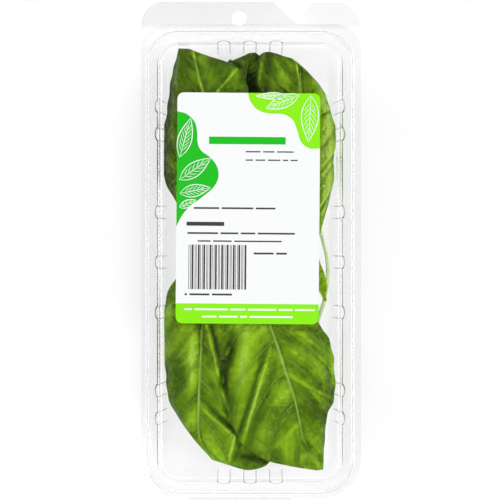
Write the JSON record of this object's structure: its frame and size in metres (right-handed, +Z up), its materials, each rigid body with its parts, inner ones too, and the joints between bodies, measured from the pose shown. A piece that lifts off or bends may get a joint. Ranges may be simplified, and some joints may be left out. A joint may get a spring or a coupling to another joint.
{
  "type": "packed basil bunch",
  "caption": "Loose basil leaves and sprig stems lying in a clear hinged tray pack with a hang tab and a paper label on its lid.",
  "frame": {"origin": "on the surface the pack stands on, under the middle of the whole outline, tabs and hinge included", "axes": "+Z up through the lid, +Y along the pack towards its hang tab, the hinge at the -Y end, +X to the right seen from above"},
  "size_m": [0.0948, 0.2166, 0.0261],
  "materials": {
    "clear_sheet": "gloss",
    "label_paper": "satin",
    "basil_blade": "satin",
    "basil_stem": "satin"
  },
  "bodies": {
    "tray": {"tray": "clear_sheet", "hinge_web": "clear_sheet", "leaf_01": "basil_blade", "leaf_02": "basil_blade", "leaf_03": "basil_blade", "leaf_04": "basil_blade", "leaf_05": "basil_blade", "leaf_06": "basil_blade", "leaf_07": "basil_blade", "leaf_08": "basil_blade", "leaf_09": "basil_blade", "leaf_10": "basil_blade", "leaf_11": "basil_blade", "leaf_12": "basil_blade", "leaf_13": "basil_blade", "leaf_14": "basil_blade", "leaf_15": "basil_blade", "stem_1": "basil_stem", "stem_2": "basil_stem", "stem_3": "basil_stem", "stem_4": "basil_stem"},
    "lid": {"lid": "clear_sheet", "label": "label_paper"}
  },
  "joints": [
    {"name": "lid_hinge", "type": "hinge", "parent": "tray", "child": "lid", "pos_m": [-0.0047, -0.10718, 0.0227], "axis": [1, 0, 0], "range_deg": [0, 180]}
  ]
}
